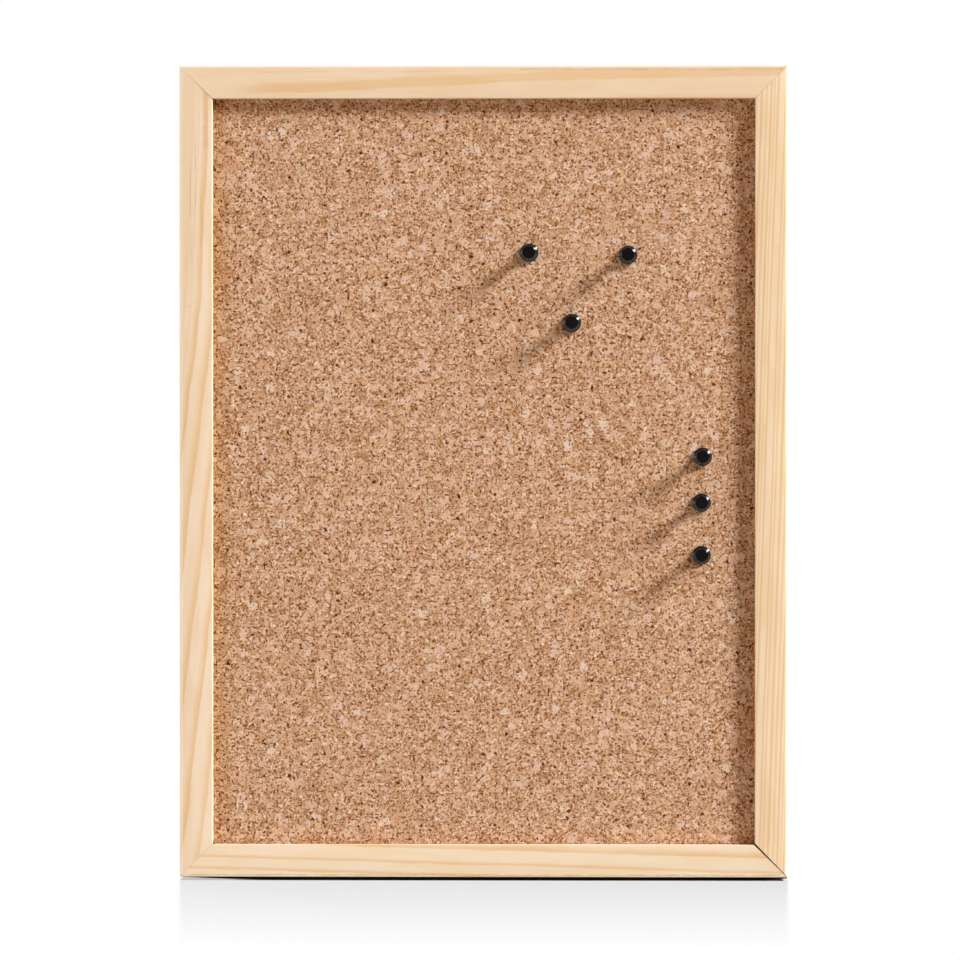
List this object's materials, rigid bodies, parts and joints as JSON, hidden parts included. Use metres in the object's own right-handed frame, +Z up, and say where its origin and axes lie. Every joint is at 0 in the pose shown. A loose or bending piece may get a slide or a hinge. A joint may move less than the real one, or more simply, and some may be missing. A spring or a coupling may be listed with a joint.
{
  "type": "pin board",
  "caption": "Upright cork pin board in a mitred pine frame, with push pins that pull out of the cork and ring hangers that swing on its back.",
  "frame": {"origin": "middle of the frame's bottom face, half way through the frame's depth", "axes": "+Z up the board, +X to the right as seen from the front, the cork faces -Y and the hangers are on +Y"},
  "size_m": [0.3, 0.0293, 0.4],
  "materials": {
    "pine": "satin",
    "cork": "matte",
    "softboard": "matte",
    "hardboard": "satin",
    "pin_plastic": "gloss",
    "needle_steel": "polished",
    "zinc_steel": "satin",
    "nail_steel": "satin"
  },
  "bodies": {
    "board": {"top_rail": "pine", "right_stile": "pine", "bottom_rail": "pine", "left_stile": "pine", "v_nail_top_right": "nail_steel", "v_nail_bottom_right": "nail_steel", "v_nail_bottom_left": "nail_steel", "v_nail_top_left": "nail_steel", "cork_sheet": "cork", "softboard_core": "softboard", "hardboard_back": "hardboard", "hanger_strap_left": "zinc_steel", "hanger_screw_left": "zinc_steel", "hanger_strap_right": "zinc_steel", "hanger_screw_right": "zinc_steel"},
    "pin_1": {"pin_head_1": "pin_plastic", "pin_needle_1": "needle_steel"},
    "pin_2": {"pin_head_2": "pin_plastic", "pin_needle_2": "needle_steel"},
    "pin_3": {"pin_head_3": "pin_plastic", "pin_needle_3": "needle_steel"},
    "pin_4": {"pin_head_4": "pin_plastic", "pin_needle_4": "needle_steel"},
    "pin_5": {"pin_head_5": "pin_plastic", "pin_needle_5": "needle_steel"},
    "pin_6": {"pin_head_6": "pin_plastic", "pin_needle_6": "needle_steel"},
    "ring_left": {"hanger_ring_left": "zinc_steel"},
    "ring_right": {"hanger_ring_right": "zinc_steel"}
  },
  "joints": [
    {"name": "pin_1_pull", "type": "slide", "parent": "board", "child": "pin_1", "axis": [0, -1, 0], "range_m": [0, 0.02]},
    {"name": "pin_2_pull", "type": "slide", "parent": "board", "child": "pin_2", "axis": [0, -1, 0], "range_m": [0, 0.02]},
    {"name": "pin_3_pull", "type": "slide", "parent": "board", "child": "pin_3", "axis": [0, -1, 0], "range_m": [0, 0.02]},
    {"name": "pin_4_pull", "type": "slide", "parent": "board", "child": "pin_4", "axis": [0, -1, 0], "range_m": [0, 0.02]},
    {"name": "pin_5_pull", "type": "slide", "parent": "board", "child": "pin_5", "axis": [0, -1, 0], "range_m": [0, 0.02]},
    {"name": "pin_6_pull", "type": "slide", "parent": "board", "child": "pin_6", "axis": [0, -1, 0], "range_m": [0, 0.02]},
    {"name": "ring_left_swing", "type": "hinge", "parent": "board", "child": "ring_left", "pos_m": [-0.143, 0.01115, 0.35], "axis": [1, 0, 0], "range_deg": [0, 180]},
    {"name": "ring_right_swing", "type": "hinge", "parent": "board", "child": "ring_right", "pos_m": [0.143, 0.01115, 0.35], "axis": [1, 0, 0], "range_deg": [0, 180]}
  ]
}
